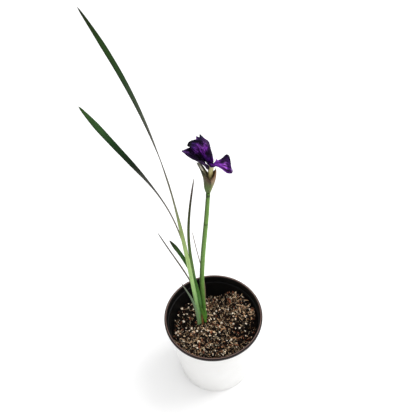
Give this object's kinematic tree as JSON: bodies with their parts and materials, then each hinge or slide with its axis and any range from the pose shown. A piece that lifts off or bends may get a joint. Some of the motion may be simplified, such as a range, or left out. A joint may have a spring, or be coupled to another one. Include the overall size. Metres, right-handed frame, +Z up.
{
  "type": "potted siberian iris",
  "caption": "Siberian iris in a round white nursery pot: narrow upright leaves and a slim stem with an open dark purple flower above black potting mix.",
  "frame": {"origin": "centre of the pot's underside, on the ground", "axes": "+Z up along the pot's axis; -Y towards the side seen in the picture; +X to the right in the picture"},
  "size_m": [0.2294, 0.165, 0.702],
  "materials": {
    "pot_plastic": "satin white outside, black inside and dark brown on the rim",
    "potting_mix": "damp dark mix with bark chips and white grains",
    "stem_green": "satin",
    "leaf_green": "satin with fine lengthwise ribs",
    "dry_leaf": "dry, matt",
    "spathe": "papery, matt, with lengthwise stripes",
    "tube_yellow_green": "satin",
    "petal_purple": "velvety",
    "style_lilac": "velvety"
  },
  "bodies": {
    "root": {"bract_left": "spathe", "bract_right": "spathe", "fall_back": "petal_purple", "fall_left": "petal_purple", "fall_right": "petal_purple", "flower_stem": "stem_green", "leaf_arching": "leaf_green", "leaf_dark": "leaf_green", "leaf_dry": "dry_leaf", "leaf_long": "leaf_green", "leaf_low": "leaf_green", "leaf_sheath": "leaf_green", "leaf_thin": "leaf_green", "leaf_upright": "leaf_green", "ovary": "tube_yellow_green", "pot": "pot_plastic", "sheath_dry": "dry_leaf", "soil": "potting_mix", "standard_front": "petal_purple", "standard_left": "petal_purple", "standard_right": "petal_purple", "style_back": "style_lilac", "style_left": "style_lilac", "style_right": "style_lilac"}
  },
  "joints": []
}
